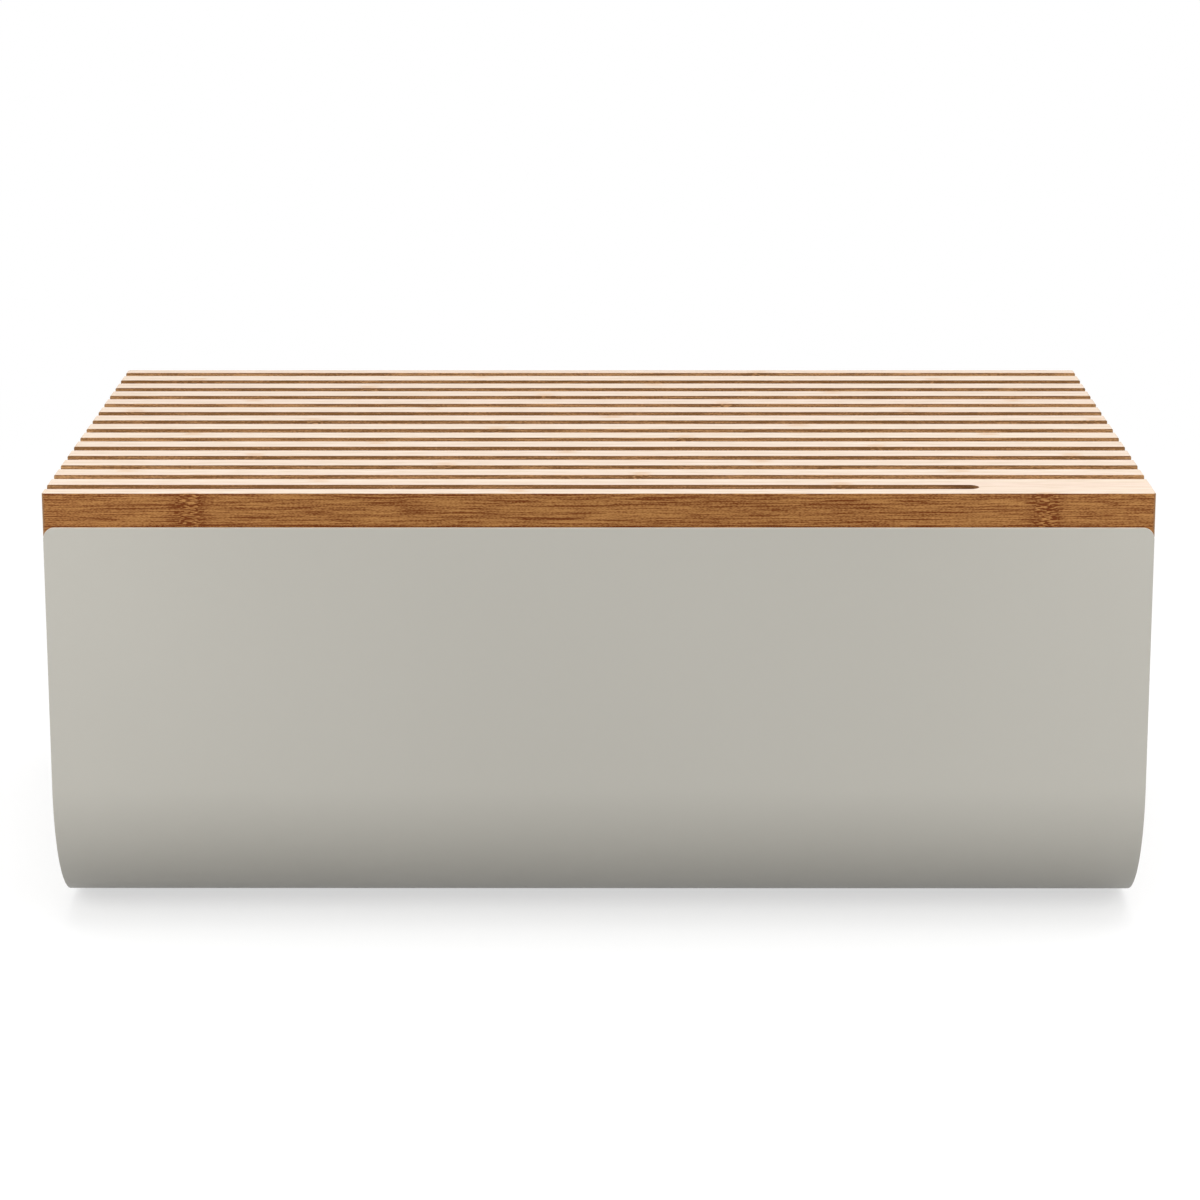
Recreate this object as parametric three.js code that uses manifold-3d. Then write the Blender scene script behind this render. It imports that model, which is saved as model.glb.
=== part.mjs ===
import * as THREE from 'three';
import { mergeVertices } from 'three/addons/utils/BufferGeometryUtils.js';
import Module from 'manifold-3d';

// Bread box: a bin of bent and coated steel sheet, with a bamboo cutting board as its loose lid.
// Lengths are millimetres. +X runs along the box, -Y is its front and +Z is up.
// The origin is under the middle of the box, on the surface that its feet stand on.

// The whole box: over the board's ends, over the front and back sheet, and from feet to board top
const boxLength = 340;
const boxDepth = 215;
const boxHeight = 140;

// Shell: one sheet that is front, floor and back, with a wide bend between them
const sheetThickness = 1;
const shellBendRadius = 45;
const shellCornerRadius = 3.4;
const shellEndSetback = 0.3;
const lipHeight = 3.4;

// End panels: pans pressed from the same sheet and set in between front and back
const rimWidth = 12;
const rimFoldInnerRadius = 0.6;
const panCornerInnerRadius = 1.5;
const panBendRelief = 1;

// Board: its ends rest on the rims of the end panels, and a step holds it between them
const boardEndThickness = 14.1;
const boardStep = 2.9;
const boardSideClearance = 0.3;
const boardStepClearance = 0.5;
const boardEdgeChamfer = 0.8;
const boardCornerRadius = 1.5;

// Crumb grooves: cut along the whole board, but the front one stops short of a bare field
const grooveWidth = 6.3;
const grooveDepth = 4;
const ribWidth = 8.65;
const edgeRibLeastWidth = 5;
const bareFieldLength = 53.2;

// Feet: rubber buttons under the flat of the floor
const footDiameter = 12;
const footHeight = 1.8;
const footChamfer = 0.4;
const footBendInset = 3.5;
const footEndInset = 30;

// How far a cutting or trimming solid runs past the piece that it works on
const cutOverrun = 5;

// Straight steps in a quarter turn of the sheet, a small corner and a fold, and round a foot
const bendSteps = 18;
const cornerSteps = 6;
const foldSteps = 4;
const footSides = 32;

// Heights and lengths that more than one piece follows
const floorUnderside = footHeight;
const floorTop = floorUnderside + sheetThickness;
const ledgeTop = boxHeight - boardEndThickness;
const sheetTop = ledgeTop + lipHeight;
const shellLength = boxLength - 2 * shellEndSetback;
const shellInnerDepth = boxDepth - 2 * sheetThickness;

const coatedSteel = new THREE.MeshStandardMaterial({ color: 0xbdb6aa, roughness: 0.45, metalness: 0 });
const bamboo = new THREE.MeshStandardMaterial({ color: 0xd6ab76, roughness: 0.55, metalness: 0 });
const rubber = new THREE.MeshStandardMaterial({ color: 0x4b4a47, roughness: 0.85, metalness: 0 });

const wasm = await Module();
wasm.setup();

// A closed geometry as a solid that can be cut and joined
function toSolid(geometry) {
  geometry.deleteAttribute('normal');
  geometry.deleteAttribute('uv');
  const merged = mergeVertices(geometry);
  const vertProperties = merged.attributes.position.array;
  const triVerts = merged.index.array;
  return new wasm.Manifold(new wasm.Mesh({ numProp: 3, vertProperties, triVerts }));
}

// The geometry of a finished solid
function toGeometry(solid) {
  const { vertProperties, triVerts, numProp } = solid.getMesh();
  const geometry = new THREE.BufferGeometry();
  geometry.setAttribute('position', new THREE.BufferAttribute(vertProperties, numProp));
  geometry.setIndex(new THREE.BufferAttribute(triVerts, 1));
  geometry.computeVertexNormals();
  return geometry;
}

// Points on an arc about a centre, both of its ends included. It is given in quarter turns.
function arc(across, up, radius, startQuarter, endQuarter, steps) {
  const points = [];
  for (let step = 0; step <= steps; step += 1) {
    const quarter = startQuarter + (endQuarter - startQuarter) * (step / steps);
    const angle = quarter * Math.PI / 2;
    points.push(new THREE.Vector2(across + radius * Math.cos(angle), up + radius * Math.sin(angle)));
  }
  return points;
}

// A rectangle between two heights, with one radius on both lower corners and one on both upper
function roundedRectangle(width, low, high, lowRadius, highRadius, lowSteps, highSteps) {
  const lowAcross = width / 2 - lowRadius;
  const highAcross = width / 2 - highRadius;
  return [
    ...arc(lowAcross, low + lowRadius, lowRadius, -1, 0, lowSteps),
    ...arc(highAcross, high - highRadius, highRadius, 0, 1, highSteps),
    ...arc(-highAcross, high - highRadius, highRadius, 1, 2, highSteps),
    ...arc(-lowAcross, low + lowRadius, lowRadius, 2, 3, lowSteps),
  ];
}

// An outline from the points of its right half, listed upwards, and their mirror image
function mirroredOutline(rightHalf) {
  const right = rightHalf.map(([across, up]) => new THREE.Vector2(across, up));
  const left = rightHalf.map(([across, up]) => new THREE.Vector2(-across, up));
  return [...right, ...left.reverse()];
}

// An end view is drawn with Y across, a front view with X across, and both with Z up. A plan is X, Y.
const axisX = new THREE.Vector3(1, 0, 0);
const axisY = new THREE.Vector3(0, 1, 0);
const axisZ = new THREE.Vector3(0, 0, 1);
const endView = new THREE.Matrix4().makeBasis(axisY, axisZ, axisX);
const frontView = new THREE.Matrix4().makeBasis(axisX, axisZ, axisY.clone().negate());
const plan = new THREE.Matrix4().makeBasis(axisX, axisY, axisZ);

// An outline in one of those views, made solid between two distances out of the view's plane.
// A fold radius rounds the edges of both of its ends.
function extrude(outline, view, from, to, foldRadius = 0) {
  const geometry = new THREE.ExtrudeGeometry(new THREE.Shape(outline), {
    depth: to - from - 2 * foldRadius,
    bevelEnabled: foldRadius > 0,
    bevelThickness: foldRadius,
    bevelSize: foldRadius,
    bevelOffset: -foldRadius,
    bevelSegments: foldSteps,
  });
  geometry.translate(0, 0, from + foldRadius);
  geometry.applyMatrix4(view);
  return toSolid(geometry);
}

// Shell: the section of the bent sheet, run along the box, with its four free corners rounded
function makeShell() {
  const outerSide = boxDepth / 2;
  const innerSide = shellInnerDepth / 2;
  const innerRadius = shellBendRadius - sheetThickness;
  const bendAcross = outerSide - shellBendRadius;
  const bendUp = floorUnderside + shellBendRadius;
  const section = [
    ...arc(-bendAcross, bendUp, shellBendRadius, 2, 3, bendSteps),
    ...arc(bendAcross, bendUp, shellBendRadius, -1, 0, bendSteps),
    new THREE.Vector2(outerSide, sheetTop),
    new THREE.Vector2(innerSide, sheetTop),
    ...arc(bendAcross, bendUp, innerRadius, 0, -1, bendSteps),
    ...arc(-bendAcross, bendUp, innerRadius, 3, 2, bendSteps),
    new THREE.Vector2(-innerSide, sheetTop),
    new THREE.Vector2(-outerSide, sheetTop),
  ];
  const sheet = extrude(section, endView, -shellLength / 2, shellLength / 2);

  // The lower corners of this view lie below the sheet, so they round nothing
  const viewLow = floorUnderside - cutOverrun - shellCornerRadius;
  const corners = roundedRectangle(
    shellLength, viewLow, sheetTop, shellCornerRadius, shellCornerRadius, cornerSteps, cornerSteps,
  );
  const reach = outerSide + cutOverrun;
  return sheet.intersect(extrude(corners, frontView, -reach, reach));
}

// Outline of an end panel, or of the space inside it when it is drawn in by the sheet's thickness.
// Its lower corners turn a little wider than the bend of the shell that they lie in.
function endPanelOutline(drawnIn) {
  const lowRadius = shellBendRadius - sheetThickness + panBendRelief - drawnIn;
  const highRadius = panCornerInnerRadius + sheetThickness - drawnIn;
  const width = shellInnerDepth - 2 * drawnIn;
  return roundedRectangle(
    width, floorTop + drawnIn, ledgeTop - drawnIn, lowRadius, highRadius, bendSteps, cornerSteps,
  );
}

// End panel: a plate with a rim folded inwards all round. Its outer face is at X = 0.
function makeEndPanel() {
  const foldOuterRadius = rimFoldInnerRadius + sheetThickness;
  const blockEnd = -rimWidth - 2 * foldOuterRadius;
  const cutEnd = blockEnd - cutOverrun;
  const block = extrude(endPanelOutline(0), endView, blockEnd, 0, foldOuterRadius);
  const hollow = extrude(
    endPanelOutline(sheetThickness), endView, cutEnd, -sheetThickness, rimFoldInnerRadius,
  );
  const pastRim = extrude(endPanelOutline(-cutOverrun), endView, cutEnd, -rimWidth);
  return block.subtract(hollow).subtract(pastRim);
}

// Plan of one groove that starts past the board's left end. A stopped one has a round end.
function groovePlan(middle, startX, endX, stopped) {
  const half = grooveWidth / 2;
  const near = new THREE.Vector2(startX, middle - half);
  const far = new THREE.Vector2(startX, middle + half);
  const squareEnd = [new THREE.Vector2(endX, middle - half), new THREE.Vector2(endX, middle + half)];
  const roundEnd = arc(endX - half, middle, half, -1, 1, 2 * cornerSteps);
  return [near, ...(stopped ? roundEnd : squareEnd), far];
}

// Board: where its front view, end view and plan meet, less the crumb grooves
function makeBoard() {
  const halfLength = boxLength / 2;
  const halfDepth = shellInnerDepth / 2 - boardSideClearance;
  const underside = ledgeTop - boardStep;
  const stepEnd = shellLength / 2 - rimWidth - boardStepClearance;
  const ease = boardEdgeChamfer;
  const frontOutline = mirroredOutline([
    [stepEnd - ease, underside],
    [stepEnd, underside + ease],
    [stepEnd, ledgeTop],
    [halfLength - ease, ledgeTop],
    [halfLength, ledgeTop + ease],
    [halfLength, boxHeight - ease],
    [halfLength - ease, boxHeight],
  ]);
  const endOutline = mirroredOutline([
    [halfDepth - ease, underside],
    [halfDepth, underside + ease],
    [halfDepth, boxHeight - ease],
    [halfDepth - ease, boxHeight],
  ]);
  const planOutline = roundedRectangle(
    boxLength, -halfDepth, halfDepth, boardCornerRadius, boardCornerRadius, cornerSteps, cornerSteps,
  );
  const lengthReach = halfLength + cutOverrun;
  const depthReach = halfDepth + cutOverrun;
  let board = extrude(frontOutline, frontView, -depthReach, depthReach)
    .intersect(extrude(endOutline, endView, -lengthReach, lengthReach))
    .intersect(extrude(planOutline, plan, underside - cutOverrun, boxHeight + cutOverrun));

  // The grooves lie evenly about the middle, as many as leave enough of the board at its edges
  const pitch = grooveWidth + ribWidth;
  const spacings = Math.floor((2 * halfDepth - 2 * edgeRibLeastWidth - grooveWidth) / pitch);
  for (let groove = 0; groove <= spacings; groove += 1) {
    const middle = (groove - spacings / 2) * pitch;
    const stopped = groove === 0;
    const endX = stopped ? halfLength - bareFieldLength : lengthReach;
    const outline = groovePlan(middle, -lengthReach, endX, stopped);
    board = board.subtract(extrude(outline, plan, boxHeight - grooveDepth, boxHeight + cutOverrun));
  }
  return board;
}

// Foot: a low button with a chamfered lower edge
function makeFoot() {
  const radius = footDiameter / 2;
  const profile = [
    new THREE.Vector2(0, 0),
    new THREE.Vector2(radius - footChamfer, 0),
    new THREE.Vector2(radius, footChamfer),
    new THREE.Vector2(radius, footHeight),
    new THREE.Vector2(0, footHeight),
  ];
  const geometry = new THREE.LatheGeometry(profile, footSides);
  geometry.rotateX(Math.PI / 2);
  return geometry;
}

const breadBox = new THREE.Group();

function addPiece(name, geometry, material) {
  const piece = new THREE.Mesh(geometry, material);
  piece.name = name;
  breadBox.add(piece);
  return piece;
}

addPiece('shell', toGeometry(makeShell()), coatedSteel);
addPiece('board', toGeometry(makeBoard()), bamboo);

// The left end panel is the right one, turned about the upright axis
const endPanel = toGeometry(makeEndPanel());
for (const [side, outwards] of [['right', 1], ['left', -1]]) {
  const piece = addPiece(`end_panel_${side}`, endPanel, coatedSteel);
  piece.position.x = outwards * shellLength / 2;
  piece.rotation.z = outwards > 0 ? 0 : Math.PI;
}

const foot = makeFoot();
const footX = shellLength / 2 - footEndInset;
const footY = boxDepth / 2 - shellBendRadius - footBendInset - footDiameter / 2;
for (const [end, back] of [['front', -1], ['rear', 1]]) {
  for (const [side, right] of [['left', -1], ['right', 1]]) {
    const piece = addPiece(`foot_${end}_${side}`, foot, rubber);
    piece.position.set(right * footX, back * footY, 0);
  }
}

export default breadBox;
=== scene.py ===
import math

import bmesh
import bpy
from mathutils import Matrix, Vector


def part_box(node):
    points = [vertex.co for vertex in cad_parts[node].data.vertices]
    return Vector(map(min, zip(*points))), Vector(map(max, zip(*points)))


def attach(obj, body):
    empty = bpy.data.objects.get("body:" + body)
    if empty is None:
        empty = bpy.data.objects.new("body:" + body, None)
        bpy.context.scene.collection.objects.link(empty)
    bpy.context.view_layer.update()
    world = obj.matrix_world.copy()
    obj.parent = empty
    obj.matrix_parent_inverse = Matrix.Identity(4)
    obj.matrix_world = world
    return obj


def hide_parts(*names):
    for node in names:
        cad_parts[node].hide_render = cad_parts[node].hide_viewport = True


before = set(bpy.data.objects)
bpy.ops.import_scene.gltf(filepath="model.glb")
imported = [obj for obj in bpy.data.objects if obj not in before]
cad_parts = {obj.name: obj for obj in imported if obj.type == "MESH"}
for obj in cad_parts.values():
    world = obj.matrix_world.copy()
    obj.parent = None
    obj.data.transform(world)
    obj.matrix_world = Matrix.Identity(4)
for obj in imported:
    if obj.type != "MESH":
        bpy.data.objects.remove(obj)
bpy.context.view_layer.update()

# Camera. The photograph was taken from straight in front and a little above, through a long lens.
# The values come from fitting a pinhole camera to the box's edges in the 1200 pixel frame.
mm = 0.001
frame_width_px = 1200
focal_length_px = 3749.0
camera_place = Vector((3.7, -1224.2, 378.2)) * mm
camera_pitch = math.radians(13.662)
camera_turn = math.radians(0.161)
camera_lean = math.radians(0.03)
camera_sensor_mm = 36
camera_reach = 50

camera_data = bpy.data.cameras.new("camera")
camera_data.sensor_width = camera_sensor_mm
camera_data.lens = camera_sensor_mm * focal_length_px / frame_width_px
camera_data.clip_end = camera_reach
camera = bpy.data.objects.new("camera", camera_data)
camera.location = camera_place
camera.rotation_euler = (math.pi / 2 - camera_pitch, camera_lean, camera_turn)
bpy.context.scene.collection.objects.link(camera)
bpy.context.scene.camera = camera
bpy.context.scene.view_settings.view_transform = "Standard"


# Floor and light. A plain white sweep, with one wide soft box overhead and a weaker one in front.
# The floor shows white with the box's soft shadow, and throws less light up than it shows.
def linear(colour):
    """The linear value of an sRGB colour that is written as six hex digits."""
    shares = [int(colour[place:place + 2], 16) / 255 for place in (0, 2, 4)]
    made = [share / 12.92 if share <= 0.04045 else ((share + 0.055) / 1.055) ** 2.4 for share in shares]
    return (*made, 1)


def add_node(tree, kind, inputs, **settings):
    """One node with its settings. Its inputs, in order or by name, are values, nodes or their outputs."""
    node = tree.nodes.new(f"ShaderNode{kind}")
    for name, value in settings.items():
        setattr(node, name, value)
    if isinstance(inputs, dict):
        filled = [(node.inputs[name], value) for name, value in inputs.items()]
    else:
        filled = zip([socket for socket in node.inputs if socket.enabled], inputs)
    for socket, value in filled:
        if isinstance(value, bpy.types.Node):
            value = next(output for output in value.outputs if output.enabled)
        if isinstance(value, bpy.types.NodeSocket):
            tree.links.new(value, socket)
        else:
            socket.default_value = value
    return node


def seen_directly(tree):
    """1 for what the camera, a reflection or a clear piece sees, and 0 for the light on surfaces."""
    path = add_node(tree, "LightPath", [])
    either = add_node(tree, "Math", [path.outputs["Is Camera Ray"], path.outputs["Is Glossy Ray"]],
                      operation="MAXIMUM")
    return add_node(tree, "Math", [either, path.outputs["Is Transmission Ray"]], operation="MAXIMUM")


sky_level = 0.55
world = bpy.data.worlds.new("studio")
world.use_nodes = True
bpy.context.scene.world = world
sky = world.node_tree
sky.nodes.clear()
sky_light = add_node(sky, "Background", {"Color": linear("FFFFFF"), "Strength": sky_level})
sky_shown = add_node(sky, "Background", {"Color": linear("FFFFFF"), "Strength": 1})
sky_mix = add_node(sky, "MixShader", [seen_directly(sky), sky_light, sky_shown])
add_node(sky, "OutputWorld", {"Surface": sky_mix})


def add_soft_box(name, width, height, place, aim, power):
    """A rectangular area lamp that points at a place."""
    lamp_data = bpy.data.lights.new(name, "AREA")
    lamp_data.shape = "RECTANGLE"
    lamp_data.size = width
    lamp_data.size_y = height
    lamp_data.energy = power
    lamp = bpy.data.objects.new(name, lamp_data)
    lamp.location = place
    lamp.rotation_euler = (Vector(aim) - Vector(place)).to_track_quat("-Z", "Y").to_euler()
    bpy.context.scene.collection.objects.link(lamp)


box_middle = (0, 0, 0.07)
add_soft_box("overhead_soft_box", width=1.6, height=1.2, place=(0.1, 0.15, 1.5), aim=box_middle, power=14.7)
add_soft_box("front_soft_box", width=1.8, height=1.0, place=(0, -1.6, 1.3), aim=box_middle, power=4.0)
add_soft_box("left_soft_box", width=0.25, height=0.4,
             place=(-0.46, -0.36, 0.24), aim=(-0.17, -0.1, 0.05), power=1.1)
add_soft_box("right_soft_box", width=0.25, height=0.4,
             place=(0.46, -0.36, 0.24), aim=(0.17, -0.1, 0.05), power=0.95)

floor_half = 8
floor_level = -0.1 * mm
shadow_reach_near = 0.35
shadow_reach_far = 0.9
white_under_shadow = 0.6
floor_mesh = bpy.data.meshes.new("floor")
floor_mesh.from_pydata(
    [(-floor_half, -floor_half, floor_level), (floor_half, -floor_half, floor_level),
     (floor_half, floor_half, floor_level), (-floor_half, floor_half, floor_level)], [], [(0, 1, 2, 3)])
floor = bpy.data.objects.new("floor", floor_mesh)
bpy.context.scene.collection.objects.link(floor)

white_paper = bpy.data.materials.new("white_paper")
white_paper.use_nodes = True
paper = white_paper.node_tree
paper.nodes.clear()
paper_place = add_node(paper, "TexCoord", [])
paper_distance = add_node(paper, "VectorMath", [paper_place.outputs["Object"]], operation="LENGTH")
paper_fade = add_node(paper, "MapRange", [
    paper_distance, shadow_reach_near, shadow_reach_far, white_under_shadow, 1],
    interpolation_type="SMOOTHSTEP")
paper_lit = add_node(paper, "BsdfDiffuse", {"Color": linear("FFFFFF")})
paper_white = add_node(paper, "Emission", {"Color": linear("FFFFFF"), "Strength": 1})
paper_shown = add_node(paper, "MixShader", [paper_fade, paper_lit, paper_white])
paper_bounce = add_node(paper, "BsdfDiffuse", {"Color": linear("AFAFAF")})
paper_mix = add_node(paper, "MixShader", [seen_directly(paper), paper_bounce, paper_shown])
add_node(paper, "OutputMaterial", {"Surface": paper_mix})
floor_mesh.materials.append(white_paper)


# Shell. One sheet of 1 mm steel, bent twice over a wide radius, is the front, the floor and the back.
# Its corners are rounded with a file, and it is coated with epoxy powder once the ends are welded in.
sheet = 1 * mm
bend_radius = 45 * mm
free_corner_radius = 3.4 * mm
sheet_edge_ease = 0.45 * mm
sharp_edge_angle = math.radians(40)
shell_low, shell_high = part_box("shell")
bend_steps = 40
corner_steps = 8


def add_skin(maker, rings):
    """A closed skin through rings of as many points each, with a flat face over the first and last."""
    rows = [[maker.verts.new(point) for point in ring] for ring in rings]
    for row, following in zip(rows, rows[1:]):
        for here in range(len(row)):
            there = (here + 1) % len(row)
            maker.faces.new((row[here], row[there], following[there], following[here]))
    maker.faces.new(reversed(rows[0]))
    maker.faces.new(rows[-1])


def add_piece(name, maker):
    """The object of what has been skinned, with its faces turned outwards and shaded smooth."""
    bmesh.ops.recalc_face_normals(maker, faces=maker.faces)
    mesh = bpy.data.meshes.new(name)
    maker.to_mesh(mesh)
    maker.free()
    mesh.shade_smooth()
    piece = bpy.data.objects.new(name, mesh)
    bpy.context.scene.collection.objects.link(piece)
    return piece


def ease_edges(piece, radius, steps):
    """Rounds the sharp edges a little, and keeps the flats between them flat in the shading."""
    ease = piece.modifiers.new("eased_edges", "BEVEL")
    ease.width = radius
    ease.segments = steps
    ease.limit_method = "ANGLE"
    ease.angle_limit = sharp_edge_angle
    ease.harden_normals = True
    ease.use_clamp_overlap = True


def dress(piece, body, node, material):
    """The piece takes the place of its solid, moves with its body and gets its finish."""
    piece.data.materials.clear()
    piece.data.materials.append(material)
    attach(piece, body)
    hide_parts(node)


def quarter(radius, step, steps):
    """How far a rounded edge lies in from each of its two faces, at one step of the quarter turn."""
    angle = step / steps * math.pi / 2
    return radius * (1 - math.sin(angle)), radius * (1 - math.cos(angle))


def shell_front_rings():
    """Slices of the sheet from its front edge, down and round the bend to the floor."""
    front, top, bottom = shell_low.y, shell_high.z, shell_low.z
    half_length = shell_high.x
    rows = []
    for step in range(corner_steps + 1):
        shorter, lower = quarter(free_corner_radius, step, corner_steps)
        rows.append((front, top - lower, half_length - shorter, 0))
    for step in range(bend_steps + 1):
        turn = step / bend_steps * math.pi / 2
        across = front + bend_radius * (1 - math.cos(turn))
        up = bottom + bend_radius * (1 - math.sin(turn))
        rows.append((across, up, half_length, turn))
    rings = []
    for across, up, half, turn in rows:
        inner_across = across + sheet * math.cos(turn)
        inner_up = up + sheet * math.sin(turn)
        rings.append([(-half, across, up), (half, across, up),
                      (half, inner_across, inner_up), (-half, inner_across, inner_up)])
    return rings


front_rings = shell_front_rings()
back_rings = [[(x, -y, z) for x, y, z in ring] for ring in reversed(front_rings)]
shell_maker = bmesh.new()
add_skin(shell_maker, front_rings + back_rings)
shell = add_piece("steel_shell", shell_maker)
ease_edges(shell, sheet_edge_ease, steps=3)


def new_material(name):
    """A material with nothing in it yet but the place on its piece that every pattern starts from."""
    material = bpy.data.materials.new(name)
    material.use_nodes = True
    tree = material.node_tree
    tree.nodes.clear()
    return material, tree, add_node(tree, "TexCoord", [])


# Epoxy powder coat on steel: baked and even, so it has a satin sheen and a very fine orange peel.
# The sheet under it isn't dead flat, which shows as slow waves in the reflections. A painted highlight,
# a fine pale line along the filed edge round the top, fades out down the corners.
def epoxy_coated_steel():
    peel_size = 1.6 * mm
    peel_height = 0.004 * mm
    wave_size = 90 * mm
    wave_height = 0.12 * mm
    corner_start = shell_high.z - free_corner_radius
    pale_from = corner_start + 0.3 * mm
    pale_to = corner_start + 2.6 * mm
    sheet_facing = 0.9
    edge_facing = 0.5
    material, tree, place = new_material("epoxy_coated_steel")
    on_piece = place.outputs["Object"]
    peel = add_node(tree, "TexNoise", {"Vector": on_piece, "Scale": 1 / peel_size, "Detail": 2})
    wave = add_node(tree, "TexNoise", {"Vector": on_piece, "Scale": 1 / wave_size, "Detail": 0})
    wavy = add_node(tree, "Bump", {"Height": wave, "Distance": wave_height, "Strength": 1})
    peeled = add_node(tree, "Bump", {
        "Height": peel, "Distance": peel_height, "Strength": 1, "Normal": wavy})
    even = add_node(tree, "Mix", [wave, linear("B6B3AA"), linear("BBB8AF")], data_type="RGBA")
    height = add_node(tree, "SeparateXYZ", [on_piece]).outputs["Z"]
    facing = add_node(tree, "SeparateXYZ", [place.outputs["Normal"]]).outputs["Y"]
    facing_size = add_node(tree, "Math", [facing], operation="ABSOLUTE")
    on_edge = add_node(tree, "MapRange", [facing_size, sheet_facing, edge_facing, 0, 1],
                       interpolation_type="SMOOTHSTEP")
    near_top = add_node(tree, "MapRange", [height, pale_from, pale_to, 0, 1],
                        interpolation_type="SMOOTHSTEP")
    # Painted highlight: a pale tone on the up-facing filed edge near the top of the sheet, fading down the
    # corners.
    painted_edge_highlight = add_node(tree, "Math", [on_edge, near_top], operation="MULTIPLY")
    tone = add_node(tree, "Mix", [painted_edge_highlight, even, linear("EEE5D6")], data_type="RGBA")
    sheen = add_node(tree, "MapRange", {"Value": peel, "To Min": 0.43, "To Max": 0.51})
    coat = add_node(tree, "BsdfPrincipled", {"Base Color": tone, "Roughness": sheen, "Normal": peeled})
    add_node(tree, "OutputMaterial", {"Surface": coat})
    return material


coated_steel = epoxy_coated_steel()
dress(shell, "box", "shell", coated_steel)


# End panels. Each is pressed from the same sheet as a shallow pan with a rim folded inwards all round.
# It is pushed in flush between front and back sheet and welded through the rim; the board lies on it.
fold_inner_radius = 0.6 * mm
pan_corner_inner_radius = 1.5 * mm
pan_bend_relief = 1 * mm
fold_steps = 5


def rounded_ring(half_width, low, high, low_radius, high_radius, steps, place_point):
    """Points round a rectangle with one radius below and one above, as place_point puts them."""
    points = []
    for side, centre_up, radius, start in (
            (1, low + low_radius, low_radius, -1), (1, high - high_radius, high_radius, 0),
            (-1, high - high_radius, high_radius, 1), (-1, low + low_radius, low_radius, 2)):
        for step in range(steps + 1):
            angle = (start + step / steps) * math.pi / 2
            across = side * (half_width - radius) + radius * math.cos(angle)
            points.append(place_point(across, centre_up + radius * math.sin(angle)))
    return points


def end_panel_ring(node, inset, x):
    """The pan's outline, drawn in by an inset, at a place along the box."""
    low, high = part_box(node)
    low_radius = bend_radius - sheet + pan_bend_relief - inset
    high_radius = pan_corner_inner_radius + sheet - inset
    return rounded_ring(high.y - inset, low.z + inset, high.z - inset, low_radius, high_radius,
                        bend_steps, lambda y, z: (x, y, z))


def end_panel_rings(node, outwards):
    """Slices from the outer face, round the fold, along the rim and back inside it."""
    low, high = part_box(node)
    outer_x = high.x if outwards > 0 else low.x
    rim_x = low.x if outwards > 0 else high.x
    rings = []
    for step in range(fold_steps + 1):
        inset, depth = quarter(fold_inner_radius + sheet, step, fold_steps)
        rings.append(end_panel_ring(node, inset, outer_x - outwards * depth))
    rings.append(end_panel_ring(node, 0, rim_x))
    rings.append(end_panel_ring(node, sheet, rim_x))
    for step in reversed(range(fold_steps + 1)):
        inset, depth = quarter(fold_inner_radius, step, fold_steps)
        rings.append(end_panel_ring(node, sheet + inset, outer_x - outwards * (sheet + depth)))
    return rings


for side, outwards in (("left", -1), ("right", 1)):
    panel_node = f"end_panel_{side}"
    panel_maker = bmesh.new()
    add_skin(panel_maker, end_panel_rings(panel_node, outwards))
    panel = add_piece(f"steel_end_panel_{side}", panel_maker)
    ease_edges(panel, sheet_edge_ease, steps=2)
    dress(panel, "box", panel_node, coated_steel)


# Board. Bamboo strips are glued up on edge, planed, and routed with crumb grooves that run off both ends.
# The front groove stops short of a bare field. A step under each end drops between the end panels.
board_low, board_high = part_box("board")
ledge_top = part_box("end_panel_left")[1].z
rim_inner_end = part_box("end_panel_right")[0].x
board_step_clearance = 0.5 * mm
board_edge_radius = 0.5 * mm
board_corner_radius = 1.2 * mm
groove_count = 14
groove_width = 6.3 * mm
groove_pitch = 14.95 * mm
groove_depth = 4 * mm
groove_floor_radius = 0.7 * mm
groove_edge_ease = 0.06 * mm
round_end_steps = 32
bare_field_length = 53.2 * mm
cut_overrun = 5 * mm


def board_ring(inset, z):
    """The board's plan, drawn in by an inset, at a height."""
    radius = board_corner_radius - inset
    return rounded_ring(board_high.x - inset, board_low.y + inset, board_high.y - inset, radius, radius,
                        corner_steps, lambda x, y: (x, y, z))


def groove_ring(middle, end_x, stopped, inset, z):
    """A groove's plan, drawn in by an inset, at a height. A stopped groove has a round right end."""
    start_x = board_low.x - cut_overrun
    half = groove_width / 2 - inset
    if not stopped:
        return [(start_x, middle - half, z), (end_x, middle - half, z),
                (end_x, middle + half, z), (start_x, middle + half, z)]
    points = [(start_x, middle - half, z)]
    round_end_x = end_x - groove_width / 2
    for step in range(round_end_steps + 1):
        angle = (step / round_end_steps - 0.5) * math.pi
        points.append((round_end_x + half * math.cos(angle), middle + half * math.sin(angle), z))
    return [*points, (start_x, middle + half, z)]


def add_groove(maker, number):
    """The solid that cuts one groove, with the small radius of the cutter at its floor."""
    middle = (number - (groove_count - 1) / 2) * groove_pitch
    stopped = number == 0
    end_x = board_high.x - bare_field_length if stopped else board_high.x + cut_overrun
    floor_z = board_high.z - groove_depth
    rings = []
    for step in range(fold_steps + 1):
        inset, rise = quarter(groove_floor_radius, step, fold_steps)
        rings.append(groove_ring(middle, end_x, stopped, inset, floor_z + rise))
    rings.append(groove_ring(middle, end_x, stopped, 0, board_high.z + cut_overrun))
    add_skin(maker, rings)


def add_step(maker, outwards):
    """The solid that cuts the step under one end of the board."""
    near = outwards * (rim_inner_end - board_step_clearance)
    far = outwards * (board_high.x + cut_overrun)
    half = board_high.y + cut_overrun
    add_skin(maker, [[(near, -half, z), (far, -half, z), (far, half, z), (near, half, z)]
                     for z in (board_low.z - cut_overrun, ledge_top)])


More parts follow.
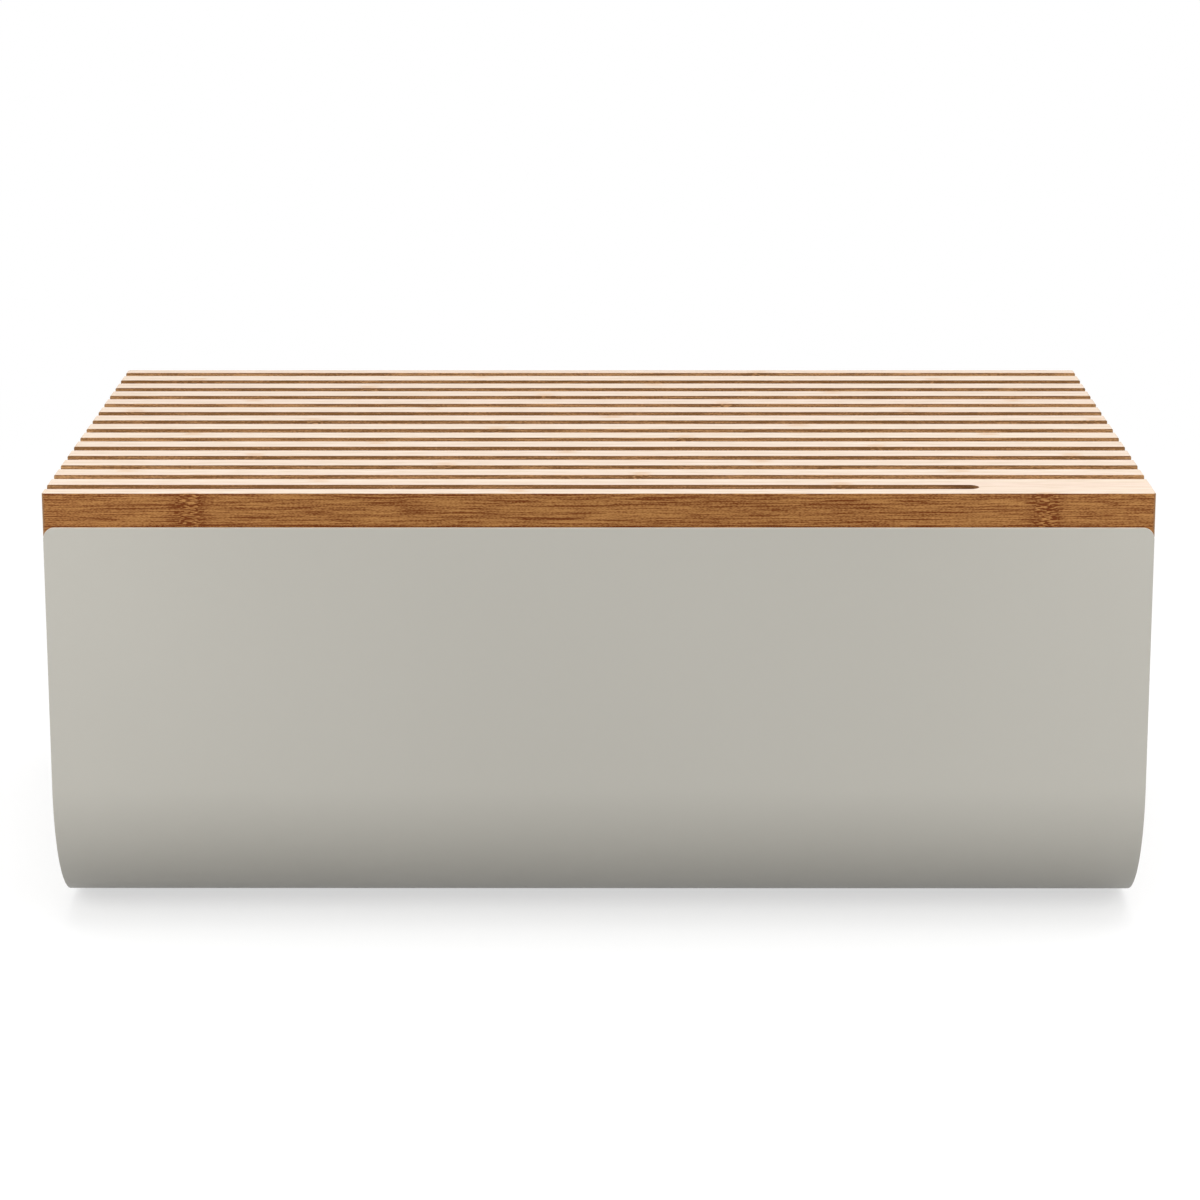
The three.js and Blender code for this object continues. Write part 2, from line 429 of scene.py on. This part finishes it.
slab_maker = bmesh.new()
slab_rings = []
for step in range(fold_steps + 1):
    inset, rise = quarter(board_edge_radius, step, fold_steps)
    slab_rings.append(board_ring(inset, board_low.z + rise))
for step in reversed(range(fold_steps + 1)):
    inset, fall = quarter(board_edge_radius, step, fold_steps)
    slab_rings.append(board_ring(inset, board_high.z - fall))
add_skin(slab_maker, slab_rings)
board = add_piece("bamboo_cutting_board", slab_maker)

cutter_maker = bmesh.new()
for number in range(groove_count):
    add_groove(cutter_maker, number)
for outwards in (-1, 1):
    add_step(cutter_maker, outwards)
cutter = add_piece("board_cutter", cutter_maker)

cut = board.modifiers.new("grooves_and_steps", "BOOLEAN")
cut.operation = "DIFFERENCE"
cut.solver = "EXACT"
cut.object = cutter
cut_mesh = bpy.data.meshes.new_from_object(board.evaluated_get(bpy.context.evaluated_depsgraph_get()))
board.modifiers.remove(cut)
board.data = cut_mesh
bpy.data.objects.remove(cutter)
ease_edges(board, groove_edge_ease, steps=3)


# Laminated bamboo, planed and oiled: dark straight fibres in a golden pith, with a knuckle here and there.
# The strips' narrow edges on top are pale and their wide faces browner, partly their own tone and partly
# painted light from above, and the groove walls are painted lighter than the outer faces against the shade
# in the grooves.
# Painted shade darkens the outer faces in a thin line along the sheet's top edge and at the four vertical
# corners, and the wood darkens towards the stopped groove's round end.
def laminated_bamboo():
    strip_width_mm = groove_pitch / mm / 2
    half_length_mm = board_high.x / mm
    half_depth_mm = board_high.y / mm
    rim_height_mm = shell_high.z / mm
    top_height_mm = board_high.z / mm
    knuckle_spacing_mm = 261.5
    front_knuckle_mm = 136.6
    knuckle_half_mm = 4.2
    knuckle_core_mm = 2.0
    raggedness_mm = 5.0
    golden_share = 0.618034
    front_strip = math.floor(-half_depth_mm / strip_width_mm)
    first_phase = -front_strip * golden_share - front_knuckle_mm / knuckle_spacing_mm
    first_wall_strip = front_strip + 2
    first_wall_tone = 0.95
    first_tone = first_wall_tone - first_wall_strip * golden_share
    strip_contrast = 0.4
    dot_spacing_mm = 0.75
    least_dot_share = 0.17
    crowding_share = 0.25
    glue_line_half_mm = 0.45
    glue_core_half_mm = 0.1
    corner_shade_end_from_mm = half_length_mm - 0.9
    corner_shade_end_to_mm = half_length_mm - 0.4
    corner_shade_side_from_mm = half_depth_mm - 1.3
    corner_shade_side_to_mm = half_depth_mm - 0.9
    fibre_depth = 0.05 * mm
    stopped_end_mm = (board_high.x - bare_field_length - groove_width / 2) / mm
    stopped_middle_mm = -(groove_count - 1) / 2 * groove_pitch / mm
    material, tree, place = new_material("laminated_bamboo")

    in_mm = add_node(tree, "VectorMath", {0: place.outputs["Object"], "Scale": 1 / mm}, operation="SCALE")
    x_mm, y_mm, z_mm = add_node(tree, "SeparateXYZ", [in_mm]).outputs
    across = add_node(tree, "Math", [y_mm, strip_width_mm], operation="DIVIDE")
    strip = add_node(tree, "Math", [across], operation="FLOOR")
    within = add_node(tree, "Math", [across], operation="FRACT")
    own = add_node(tree, "TexWhiteNoise", {"W": strip}, noise_dimensions="1D")
    own_shift_mm = (400, 0, 90)
    own_place = add_node(tree, "VectorMath", [own.outputs["Color"], own_shift_mm, in_mm],
                         operation="MULTIPLY_ADD")

    def streaks(vector, length_mm, thickness_mm, detail=0):
        """Fibres of about one length and thickness, as a pattern from 0 to 1."""
        cells = (1 / length_mm, 1 / thickness_mm, 1 / thickness_mm)
        stretched = add_node(tree, "VectorMath", [vector, cells], operation="MULTIPLY")
        return add_node(tree, "TexNoise", {
            "Vector": stretched, "Scale": 1, "Detail": detail, "Roughness": 0.6})

    # Each strip has its knuckles at its own places, one every 260 mm or so, with a ragged outline.
    phase = add_node(tree, "Math", [strip, golden_share, first_phase], operation="MULTIPLY_ADD")
    along = add_node(tree, "Math", [x_mm, 1 / knuckle_spacing_mm, phase], operation="MULTIPLY_ADD")
    off_knuckle = add_node(tree, "Math", [along, 0.5], operation="PINGPONG")
    outline = streaks(own_place, length_mm=2, thickness_mm=0.8, detail=1)
    ragged = add_node(tree, "Math", [outline, raggedness_mm, -raggedness_mm / 2], operation="MULTIPLY_ADD")
    knuckle_mm = add_node(tree, "Math", [off_knuckle, knuckle_spacing_mm, ragged],
                          operation="MULTIPLY_ADD")
    knuckle = add_node(tree, "MapRange", [knuckle_mm, knuckle_half_mm, knuckle_core_mm, 0, 1],
                       interpolation_type="SMOOTHSTEP")

    # The fibres wander a little along a strip, and are thrown out of line in a knuckle. Real ones are
    # under 0.2 mm thick; these are drawn at about 0.3 mm, which is what still shows at arm's length.
    wander_mm = (0, 1.0, 1.0)
    thrown_mm = (0.3, 0.3, 0.3)
    slow_waves = streaks(own_place, length_mm=90, thickness_mm=9, detail=1).outputs["Color"]
    wander = add_node(tree, "VectorMath", [slow_waves, wander_mm, own_place], operation="MULTIPLY_ADD")
    quick_waves = streaks(own_place, length_mm=2.5, thickness_mm=0.9).outputs["Color"]
    thrown = add_node(tree, "VectorMath", [quick_waves, thrown_mm], operation="MULTIPLY")
    thrown_here = add_node(tree, "VectorMath", {0: thrown, "Scale": knuckle}, operation="SCALE")
    fibre_place = add_node(tree, "VectorMath", [wander, thrown_here], operation="ADD")
    fibre = streaks(fibre_place, length_mm=9, thickness_mm=0.24)
    bundle = streaks(fibre_place, length_mm=18, thickness_mm=0.34)
    vessel = streaks(fibre_place, length_mm=16, thickness_mm=0.3)
    broad = streaks(fibre_place, length_mm=60, thickness_mm=3, detail=1)
    speck = streaks(fibre_place, length_mm=1.9, thickness_mm=0.28)
    pore = streaks(own_place, length_mm=0.8, thickness_mm=0.25)

    # Each mark below darkens the wood from one value of its pattern or distance to another.
    above_rim = add_node(tree, "Math", [z_mm, rim_height_mm], operation="SUBTRACT")
    off_rim_mm = add_node(tree, "Math", [above_rim], operation="ABSOLUTE")
    speckled = add_node(tree, "MapRange", [speck, 0.4, 0.6, -0.7, 1.7],
                        interpolation_type="SMOOTHSTEP")
    dark_share = add_node(tree, "Math", [knuckle, speckled], operation="MULTIPLY")
    for pattern, low, high, at_low, at_high in (
            (fibre, 0.3, 0.7, 0, 0.46),
            (bundle, 0.3, 0.7, -0.05, 0.38),
            (vessel, 0.6, 0.7, 0, 0.5),
            (broad, 0.3, 0.7, -0.07, 0.07),
            (pore, 0.25, 0.75, -0.28, 0.28),
            (knuckle_mm, 8.0, 3.0, 0, 0.28),
            # Painted shade: a thin dark line on the wood along the steel sheet's top edge.
            (off_rim_mm, 0.8, 0.3, 0, 0.3),
            (z_mm, top_height_mm - 0.9, top_height_mm - 0.3, 0, 0.2)):
        mark = add_node(tree, "MapRange", [pattern, low, high, at_low, at_high],
                        interpolation_type="SMOOTHSTEP")
        dark_share = add_node(tree, "Math", [dark_share, mark], operation="ADD")
    outer_face = add_node(tree, "Mix", [dark_share, linear("B07C44"), linear("683000")], data_type="RGBA")

    # Each strip has its own tone. The third one, which is the first groove's back wall, is a dark one.
    strip_tone = add_node(tree, "Math", [strip, golden_share, first_tone], operation="MULTIPLY_ADD")
    strip_share = add_node(tree, "Math", [strip_tone], operation="FRACT")
    wide_share = add_node(tree, "Math", [strip_share, strip_contrast, dark_share],
                          operation="MULTIPLY_ADD")
    wide_face = add_node(tree, "Mix", [wide_share, linear("C69A6A"), linear("835E38")], data_type="RGBA")

    # End grain: the bundles are dots that crowd towards one side of a strip. Glue lines part the strips.
    dot_rate = (0, 1 / dot_spacing_mm, 1 / dot_spacing_mm)
    dot_cells = add_node(tree, "VectorMath", [own_place, dot_rate], operation="MULTIPLY")
    off_dot = add_node(tree, "TexVoronoi", {"Vector": dot_cells, "Scale": 1})
    crowding = add_node(tree, "Math", [within, crowding_share, least_dot_share], operation="MULTIPLY_ADD")
    past_dot = add_node(tree, "Math", [off_dot, crowding], operation="SUBTRACT")
    dot = add_node(tree, "MapRange", [past_dot, 0.12, -0.08, 0, 0.55], interpolation_type="SMOOTHSTEP")
    off_joint = add_node(tree, "Math", [within, 0.5], operation="PINGPONG")
    joint = add_node(tree, "MapRange", [
        off_joint, glue_line_half_mm / strip_width_mm, glue_core_half_mm / strip_width_mm, 0, 0.4],
        interpolation_type="SMOOTHSTEP")
    end_share = add_node(tree, "Math", [dot, joint], operation="ADD")
    end_pith = add_node(tree, "Mix", [own, linear("C49D6E"), linear("B78F60")], data_type="RGBA")
    end_face = add_node(tree, "Mix", [end_share, end_pith, linear("875F37")], data_type="RGBA")

    # On top the bundles and fibres show as fine streaks in the pale edges, and the knuckles as tan bars.
    top_share = joint
    for pattern, low, high, at_high in ((bundle, 0.35, 0.65, 0.4), (fibre, 0.45, 0.65, 0.5)):
        mark = add_node(tree, "MapRange", [pattern, low, high, 0, at_high],
                        interpolation_type="SMOOTHSTEP")
        top_share = add_node(tree, "Math", [top_share, mark], operation="ADD")
    pith = add_node(tree, "Mix", [own, linear("E5D5C4"), linear("E4CFC0")], data_type="RGBA")
    streaked = add_node(tree, "Mix", [top_share, pith, linear("D0B9A0")], data_type="RGBA")
    tanned = add_node(tree, "MapRange", [knuckle_mm, 5.0, 0.5, 0, 0.35],
                      interpolation_type="SMOOTHSTEP")
    top_face = add_node(tree, "Mix", [tanned, streaked, linear("C99A66")], data_type="RGBA")

    # How near a point is to the round end of the stopped groove, and to one of the four corners.
    to_stop = (-stopped_end_mm, -stopped_middle_mm, 0)
    from_stop = add_node(tree, "VectorMath", [in_mm, (1, 1, 0), to_stop], operation="MULTIPLY_ADD")
    off_stop_mm = add_node(tree, "VectorMath", [from_stop], operation="LENGTH")
    from_middle = add_node(tree, "VectorMath", [in_mm], operation="ABSOLUTE")
    off_middle = add_node(tree, "SeparateXYZ", [from_middle]).outputs
    near_end = add_node(tree, "MapRange", [off_middle["X"], corner_shade_end_from_mm, corner_shade_end_to_mm, 0, 1])
    near_side = add_node(tree, "MapRange", [off_middle["Y"], corner_shade_side_from_mm, corner_shade_side_to_mm, 0, 1])
    corner = add_node(tree, "Math", [near_end, near_side], operation="MULTIPLY")

    # Each finish below covers the one before it, from one size of its measure to another.
    facing = add_node(tree, "SeparateXYZ", [place.outputs["Normal"]]).outputs
    colour = wide_face
    for measure, low, high, at_high, finish in (
            # Painted light: the groove walls keep a lighter brown than these outer front and back faces,
            # against the shade in the grooves.
            (y_mm, half_depth_mm - 0.6, half_depth_mm - 0.2, 1, outer_face),
            (facing["X"], 0.4, 0.8, 1, end_face),
            # Painted shade: the outer faces darken at the board's four vertical corners.
            (corner, 0, 1, 0.7, linear("765230")),
            # The wood darkens towards the stopped groove's round end.
            (off_stop_mm, 11.0, 3.0, 0.5, linear("582F0F")),
            # Partly painted light: up-facing faces take a much paler tone than the side faces, from the
            # light above as well as the strips' own paler edges.
            (facing["Z"], 0.35, 0.85, 1, top_face)):
        size = add_node(tree, "Math", [measure], operation="ABSOLUTE")
        share = add_node(tree, "MapRange", [size, low, high, 0, at_high],
                         interpolation_type="SMOOTHSTEP")
        colour = add_node(tree, "Mix", [share, colour, finish], data_type="RGBA")

    sunk = add_node(tree, "Bump", {"Height": fibre, "Distance": -fibre_depth, "Strength": 1})
    sheen = add_node(tree, "MapRange", [fibre, 0.3, 0.7, 0.46, 0.6], interpolation_type="SMOOTHSTEP")
    wood = add_node(tree, "BsdfPrincipled", {
        "Base Color": colour, "Roughness": sheen, "Normal": sunk, "Specular IOR Level": 0.2})
    add_node(tree, "OutputMaterial", {"Surface": wood})
    return material


dress(board, "lid", "board", laminated_bamboo())


# Feet. Four low rubber buttons are pressed on under the flat of the floor, near its corners.
# They are moulded, with a rounded rim and a shallow dish underneath that keeps them from creeping.
foot_rim_radius = 0.45 * mm
dish_radius = 3.4 * mm
dish_depth = 0.35 * mm
foot_sides = 48


def foot_ring(centre, radius, z):
    """A ring of points round a foot's middle, at a height."""
    turns = [side / foot_sides * 2 * math.pi for side in range(foot_sides)]
    return [(centre.x + radius * math.cos(turn), centre.y + radius * math.sin(turn), z) for turn in turns]


def foot_rings(node):
    """Slices from the middle of the dish, over the rim and up the wall."""
    low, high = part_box(node)
    centre = (low + high) / 2
    radius = (high.x - low.x) / 2
    rings = [foot_ring(centre, dish_radius - dish_depth, low.z + dish_depth),
             foot_ring(centre, dish_radius, low.z)]
    for step in range(fold_steps + 1):
        inset, rise = quarter(foot_rim_radius, step, fold_steps)
        rings.append(foot_ring(centre, radius - inset, low.z + rise))
    rings.append(foot_ring(centre, radius, high.z))
    return rings


# Black rubber with chalk filler: matt and dark grey, with a slightly dusty, grained surface.
def moulded_rubber():
    grain_size = 0.5 * mm
    grain_depth = 0.02 * mm
    material, tree, place = new_material("moulded_rubber")
    grain = add_node(tree, "TexNoise", {
        "Vector": place.outputs["Object"], "Scale": 1 / grain_size, "Detail": 3})
    tone = add_node(tree, "Mix", [grain, linear("3E3D3B"), linear("4F4E4B")], data_type="RGBA")
    grained = add_node(tree, "Bump", {"Height": grain, "Distance": grain_depth, "Strength": 1})
    skin = add_node(tree, "BsdfPrincipled", {"Base Color": tone, "Roughness": 0.8, "Normal": grained})
    add_node(tree, "OutputMaterial", {"Surface": skin})
    return material


rubber = moulded_rubber()
for end in ("front", "rear"):
    for side in ("left", "right"):
        foot_maker = bmesh.new()
        add_skin(foot_maker, foot_rings(f"foot_{end}_{side}"))
        foot = add_piece(f"rubber_foot_{end}_{side}", foot_maker)
        dress(foot, "box", f"foot_{end}_{side}", rubber)
